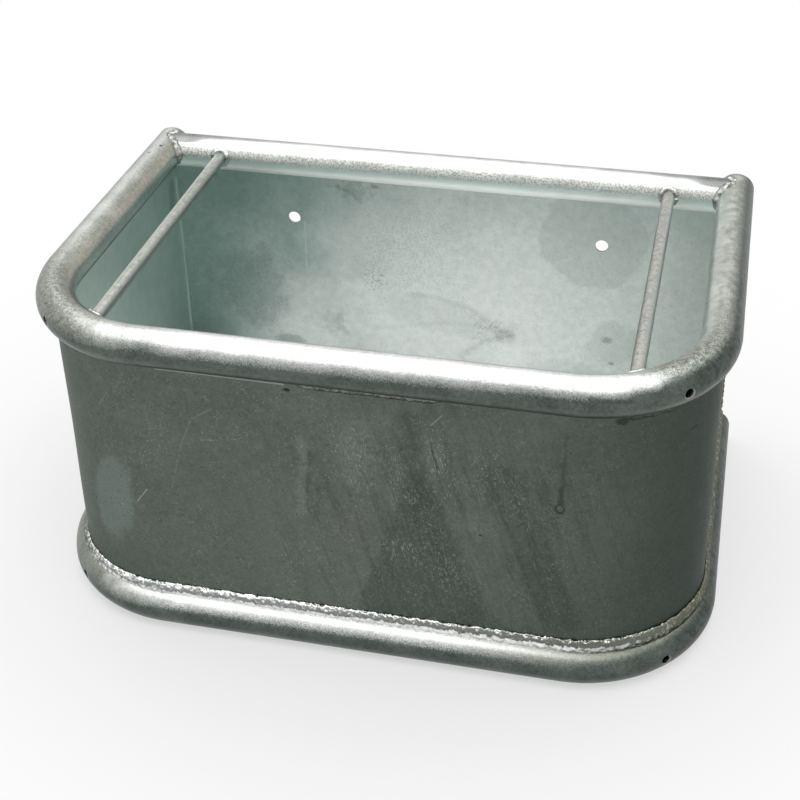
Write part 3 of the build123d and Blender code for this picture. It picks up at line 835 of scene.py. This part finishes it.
def plan(half, front, radius, end, step=0.003):
    """Places in plan round left side, front and right side, each with its outward direction and run."""
    corner_x, corner_y = half - radius, front + radius
    arc = math.pi / 2 * radius
    reach = corner_x + arc + end - corner_y
    count = round(reach / step)
    rows = []
    for k in range(-count, count + 1):
        side, run = (1 if k > 0 else -1), reach * abs(k) / count
        if run <= corner_x:
            row = ((side * run, front), (0, -1))
        elif run <= corner_x + arc:
            out = (side * math.sin((run - corner_x) / radius), -math.cos((run - corner_x) / radius))
            row = ((side * corner_x + radius * out[0], corner_y + radius * out[1]), out)
        else:
            row = ((side * half, corner_y + run - corner_x - arc), (side, 0))
        rows.append((*row, side * run))
    return rows


def level(rows, height):
    """Rows of a plan as points at one height."""
    return [(x, y, height) for (x, y), *_ in rows]


def angles(first, last, steps):
    """Angles in equal steps, from first to last, which are in degrees."""
    return [math.radians(first + (last - first) * step / steps) for step in range(steps + 1)]


def vent_drill(height):
    """Drill for the two vents of a rim, flared at the pipe's surface."""
    sides = 32
    rings = [
        (PIPE_RADIUS - 2 * PIPE_WALL, VENT_RADIUS),
        (PIPE_RADIUS - VENT_RIM, VENT_RADIUS),
        (PIPE_RADIUS + VENT_RIM, VENT_RADIUS + 2 * VENT_RIM),
        (PIPE_RADIUS + 4 * VENT_RIM, VENT_RADIUS + 2 * VENT_RIM),
    ]
    points, faces = [], []
    for side in (-1, 1):
        out = Vector((side, -1, 0)).normalized()
        across = Vector((-out.y, out.x, 0))
        middle = Vector((side * BEND_MIDDLE.x, BEND_MIDDLE.y, height)) + out * BEND_RADIUS
        first = len(points)
        for reach, radius in rings:
            for step in range(sides):
                angle = 2 * math.pi * step / sides
                edge = across * math.cos(angle) + Vector((0, 0, math.sin(angle)))
                points.append(middle + out * reach + edge * radius)
        for ring in range(len(rings) - 1):
            for step in range(sides):
                a = first + ring * sides + step
                b = first + ring * sides + (step + 1) % sides
                faces.append((a, b, b + sides, a + sides))
        faces.append(tuple(first + step for step in reversed(range(sides))))
        faces.append(tuple(first + (len(rings) - 1) * sides + step for step in range(sides)))
    mesh = bpy.data.meshes.new("vent_drill")
    mesh.from_pydata(points, [], faces)
    return linked("vent_drill", mesh)


def wrapped_wall(outside, inside):
    """Sheet wrapped round three sides, its edges rounded and its faces a little wavy."""
    rounding, rises, sunk = 0.0006, 28, 0.0006
    low, high = wall_low.z, wall_high.z
    climb = [rounding + (high - low - 2 * rounding) * step / rises for step in range(rises + 1)]
    section = [(0, low + up) for up in climb]
    section += [(-rounding, high), (rounding - SHEET, high)]
    section += [(-SHEET, high - up) for up in climb]
    section += [(rounding - SHEET, low), (-rounding, low)]
    rows = plan(WALL_HALF_WIDTH, WALL_FRONT, WALL_RADIUS, BACK_INNER_FACE + sunk)
    points, faces, marks = [], [], []
    count = len(section)
    for (x, y), (out_x, out_y), run in rows:
        for offset, height in section:
            hold = math.sin(math.pi * (height - low) / (high - low)) ** 2
            waves = (
                size * math.sin(along * run + up * height + start) for size, along, up, start in WALL_WAVES
            )
            reach = offset + hold * sum(waves)
            points.append((x + out_x * reach, y + out_y * reach, height))
    for row in range(len(rows) - 1):
        for step in range(count):
            a, b = row * count + step, row * count + (step + 1) % count
            faces.append((a, a + count, b + count, b))
            marks.append(1 if rises + 3 <= step < 2 * rises + 3 else 0)
    faces.append(tuple(range(count)))
    faces.append(tuple(reversed(range((len(rows) - 1) * count, len(rows) * count))))
    marks += [0, 0]
    mesh = bpy.data.meshes.new("wrapped_wall")
    mesh.from_pydata(points, [], faces)
    mesh.materials.append(outside)
    mesh.materials.append(inside)
    mesh.polygons.foreach_set("material_index", marks)
    mesh.shade_smooth()
    mesh.set_sharp_from_angle(angle=math.radians(50))
    return linked("wrapped_wall", mesh)


def add_pipes():
    tree = pipe_shaper()
    sizes = {
        "Radius": PIPE_RADIUS,
        "Bore radius": PIPE_RADIUS - PIPE_WALL,
        "Sides": 72,
        "Step": 0.004,
        "Lump height": 0.00015,
        "Lump scale": 60.0,
    }
    rim_zinc = rim_finish()
    for name, height in (("top", TOP_LINE), ("bottom", BOTTOM_LINE)):
        drill = vent_drill(height)
        run = level(plan(RIM_HALF_WIDTH, FRONT_LINE, BEND_RADIUS, PIPE_END), height)
        rim = shaped(name + "_rim", [run], tree, {**sizes, "Drill": drill, "Material": rim_zinc})
        bpy.data.objects.remove(drill)
        hand_in(rim, "galvanised_pipe", name + "_rim_pipe")
        for side in ("left", "right"):
            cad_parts[f"{name}_{side}_end_plate"].data.materials[0] = rim_zinc
    half = RIM_HALF_WIDTH - PIPE_RADIUS * RAIL_SHORT
    run = [(-half, REAR_LINE, TOP_LINE), (half, REAR_LINE, TOP_LINE)]
    rail = shaped("rear_pipe", [run], tree, {**sizes, "Material": rail_finish()})
    hand_in(rail, "galvanised_pipe", "rear_rail")


def add_bars():
    tree, zinc = bar_shaper(), bar_finish()
    sizes = {"Radius": BAR_RADIUS, "Sides": 36, "Step": 0.004, "Lump height": 0.00015, "Lump scale": 90.0}
    for name, side in (("left", -1), ("right", 1)):
        run = [(side * BAR_PLACE, y, BAR_HEIGHT) for y in (bar_low.y - BAR_SINK, bar_high.y + BAR_SINK)]
        bar = shaped(name + "_bar", [run], tree, {**sizes, "Material": zinc})
        hand_in(bar, "galvanised_bar", name + "_cross_bar")


def add_sheets():
    inside = inside_finish()
    hand_in(wrapped_wall(outside_finish(), inside), "galvanised_sheet", "wall_sheet")
    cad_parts["floor_plate"].data.materials[0] = inside
    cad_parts["back_plate"].data.materials[0] = back_finish()


class Welds:
    """Lays weld beads of one finish."""

    def __init__(self):
        self.tree, self.zinc = bead_shaper(), weld_finish()

    def lay(self, name, node, runs, **sizes):
        """Beads for one node; sizes are their radius and what differs from the usual."""
        usual = {
            "Sides": 26,
            "Step": 0.001,
            "Ripple pitch": 0.006,
            "Ripple height": 0.0003,
            "Lump scale": 120.0,
            "Lump height": 0.0006,
            "Grain scale": 380.0,
            "Grain height": 0.0002,
            "Stretch": (1, 1, 1),
            "Taper": 0.0001,
            "Flat": 0.0,
            "Calm": 0.0,
            "Material": self.zinc,
        }
        given = {label.replace("_", " "): value for label, value in sizes.items()}
        hand_in(shaped(name, runs, self.tree, {**usual, **given}), "weld_metal", node)


def saddle_runs(side):
    """Lines in the corner between the rear pipe and a leg: one in front of the pipe, one behind it."""
    crossing = Vector((side * RIM_HALF_WIDTH, REAR_LINE, TOP_LINE))
    runs = []
    for facing, low in ((-1, CORNER_LOW), (1, CORNER_BACK)):
        away = Vector((-side, facing, 0)).normalized() * math.sqrt(2) * PIPE_RADIUS
        run = []
        for angle in angles(low, 90, steps=24):
            rise = Vector((0, 0, (PIPE_RADIUS - CORNER_SINK) * math.sin(angle)))
            run.append(crossing + away * math.cos(angle) + rise)
        runs.append(run)
    return runs


def collar_runs(side):
    """Rings round the ends of a cross bar, on the pipes that it meets."""
    front, rear = [], []
    for angle in angles(0, 360, steps=32):
        x = BAR_PLACE + (BAR_RADIUS + COLLAR_OUT) * math.cos(angle)
        z = BAR_HEIGHT + (BAR_RADIUS + COLLAR_OUT) * math.sin(angle)
        depth = math.sqrt(PIPE_RADIUS**2 - (z - TOP_LINE) ** 2)
        bend = math.sqrt((BEND_RADIUS - depth) ** 2 - (x - BEND_MIDDLE.x) ** 2)
        front.append((side * x, BEND_MIDDLE.y - bend, z))
        rear.append((side * x, REAR_LINE - depth, z))
    return [front, rear]


def stitch_runs():
    """Lines under the top rim: front, right bend and both sides."""
    runs = [[(STITCH_MIDDLE + sign * STITCH_LENGTH / 2, WALL_FRONT, WALL_HEAD) for sign in (-1, 1)]]
    bend = []
    for angle in angles(*BEND_STITCH, steps=18):
        x = BEND_MIDDLE.x + WALL_RADIUS * math.sin(angle)
        y = WALL_FRONT + WALL_RADIUS * (1 - math.cos(angle))
        bend.append((x, y, WALL_HEAD))
    runs.append(bend)
    ends = (SIDE_STITCH_MIDDLE - SIDE_STITCH_LENGTH / 2, SIDE_STITCH_MIDDLE + SIDE_STITCH_LENGTH / 2)
    for side in (-1, 1):
        runs.append([(side * WALL_HALF_WIDTH, y, WALL_HEAD) for y in ends[::side]])
    return runs


def foot_run():
    """Line along the wall's foot; how far up the wall it lies differs from place to place."""
    out, points = FOOT_BEAD_OUT, []
    for (x, y), _, run in plan(WALL_HALF_WIDTH + out, WALL_FRONT - out, WALL_RADIUS + out, BACK_INNER_FACE):
        rise = FOOT_BEAD_RISES[0][1]
        for (a, low), (b, high) in zip(FOOT_BEAD_RISES, FOOT_BEAD_RISES[1:]):
            if run > a:
                rise = low + (high - low) * min((run - a) / (b - a), 1)
        points.append((x, y, WALL_FOOT + rise))
    return points


def add_welds():
    welds = Welds()
    rough = {"Lump_scale": 270.0, "Lump_height": 0.0009, "Grain_scale": 620.0, "Grain_height": 0.0004}
    fine = {"Sides": 40, "Step": 0.0008, "Ripple_height": 0.0}
    pressed = {"Stretch": (1, 1, 1.8), "Flat": 0.8, "Calm": 0.8}
    welds.lay("bottom_rim_bead", "bottom_rim_weld", [foot_run()], Radius=0.0042, **rough, **fine, **pressed)
    thin = {"Radius": 0.005, "Ripple_height": 0.0002, "Taper": 0.012, "Flat": 0.8}
    welds.lay("top_rim_stitches", "top_rim_stitch_welds", stitch_runs(), **thin)
    inner = plan(WALL_HALF_WIDTH - SHEET, WALL_FRONT + SHEET, WALL_RADIUS - SHEET, BACK_INNER_FACE)
    inner = level(reversed(inner), FLOOR_TOP)
    welds.lay("floor_seam_bead", "floor_seam_weld", [inner, [inner[-1], inner[0]]], Radius=0.003, Flat=0.8)
    half = RIM_HALF_WIDTH - PIPE_RADIUS
    back = [(sign * half, REAR_FACE - BACK_BEAD_IN, BACK_HEAD + BACK_BEAD_UP) for sign in (-1, 1)]
    welds.lay("back_top_bead", "back_plate_top_weld", [back], Radius=0.0015, Lump_height=0.0004)
    seam_sizes = {"Radius": 0.0023, "Lump_height": 0.0002, "Taper": 0.006}
    corner_sizes = {"Radius": 0.0043, "Lump_height": 0.0013, "Taper": 0.008}
    collar_sizes = {"Radius": 0.0028, "Lump_height": 0.001, "Ripple_height": 0.0}
    for name, side in (("left", -1), ("right", 1)):
        edge = side * (WALL_HALF_WIDTH + SEAM_BEAD_OUT)
        seam = [(edge, BACK_INNER_FACE - SEAM_BEAD_IN, z) for z in (WALL_FOOT, WALL_HEAD)]
        welds.lay(name + "_seam_bead", name + "_back_seam_weld", [seam], **seam_sizes)
        welds.lay(name + "_corner_bead", name + "_rear_corner_weld", saddle_runs(side), **corner_sizes)
        welds.lay(name + "_bar_beads", name + "_cross_bar_welds", collar_runs(side), **collar_sizes)


def shown_rays(tree):
    """1 for rays that show the background: seen, mirrored or let through."""
    rays = tree.tree.nodes.new("ShaderNodeLightPath").outputs
    seen = tree.maths("MAXIMUM", rays["Is Camera Ray"], rays["Is Glossy Ray"])
    return tree.maths("MAXIMUM", seen, rays["Is Transmission Ray"])


def floor_finish():
    """Pale floor that keeps the shadow near the trough and runs out to white."""
    f = Finish("studio_floor")
    pale = f.add("ShaderNodeBsdfDiffuse", {"Color": (0.86, 0.86, 0.86, 1)})
    white = f.add("ShaderNodeEmission", {"Color": (1, 1, 1, 1), "Strength": 1.0})
    reach = f.vector("LENGTH", f.place, output="Value")
    far = f.spread(reach, 0.25, 0.8, 0.55, 1.0, soft=True)
    return f.ended(f.add("ShaderNodeMixShader", {0: f.both(far, shown_rays(f)), 1: pale, 2: white}))


def add_studio():
    bpy.ops.mesh.primitive_plane_add(size=60)
    ground = bpy.context.object
    ground.name = "studio_floor"
    ground.data.materials.append(floor_finish())
    world = bpy.data.worlds.new("studio")
    bpy.context.scene.world = world
    world.use_nodes = True
    w = Tree(world.node_tree)
    w.tree.nodes.clear()
    fill = w.add("ShaderNodeBackground", {"Color": (1, 1, 1, 1), "Strength": 0.35})
    white = w.add("ShaderNodeBackground", {"Color": (1, 1, 1, 1), "Strength": 1.0})
    both = w.add("ShaderNodeMixShader", {0: shown_rays(w), 1: fill, 2: white})
    w.add("ShaderNodeOutputWorld", {"Surface": both})
    light = bpy.data.lights.new("overhead", "AREA")
    light.shape = "RECTANGLE"
    light.size, light.size_y = 3.4, 3.0
    light.energy = 58
    overhead = linked("overhead", light)
    overhead.location = (0, 0.1, 2.0)
    overhead.visible_camera = False


def add_camera():
    """Camera that sees the trough as the photo does."""
    yaw, pitch, roll = (math.radians(angle) for angle in (13.42, 29.66, -1.09))
    place = Matrix.Translation((0.28246, -1.12613, 0.94665))
    data = bpy.data.cameras.new("photo_view")
    data.sensor_width = 36
    data.lens = 67.7
    data.shift_x, data.shift_y = -0.0181, -0.1696
    made = linked("photo_view", data)
    upright = Matrix.Rotation(yaw, 4, "Z") @ Matrix.Rotation(math.pi / 2 - pitch, 4, "X")
    made.matrix_world = place @ upright @ Matrix.Rotation(roll, 4, "Z")
    bpy.context.scene.camera = made


add_pipes()
add_bars()
add_sheets()
add_welds()
add_studio()
add_camera()
bpy.context.scene.view_settings.view_transform = "Standard"
